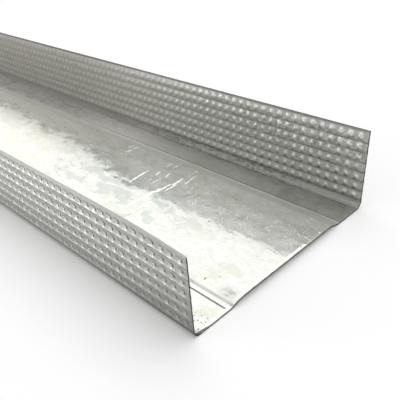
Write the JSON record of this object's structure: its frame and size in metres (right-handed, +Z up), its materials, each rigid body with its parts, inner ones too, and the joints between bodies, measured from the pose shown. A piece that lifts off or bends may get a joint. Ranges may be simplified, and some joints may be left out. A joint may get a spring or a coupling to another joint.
{
  "type": "drywall track",
  "caption": "Roll-formed galvanised steel drywall track: a shallow U channel with a raised, beaded web and knurled flanges, which holds the ends of wall studs on a floor or ceiling.",
  "frame": {"origin": "middle of the track's length and width, on the floor that its web lies on", "axes": "+X along the track, +Y across the web from one flange to the other, +Z up, the way the flanges point"},
  "size_m": [2.4384, 0.092, 0.0318],
  "materials": {
    "galvanised_steel": "bright hot-dip galvanised sheet with a fine spangle and light handling scratches"
  },
  "bodies": {
    "root": {"track": "galvanised_steel"}
  },
  "joints": []
}
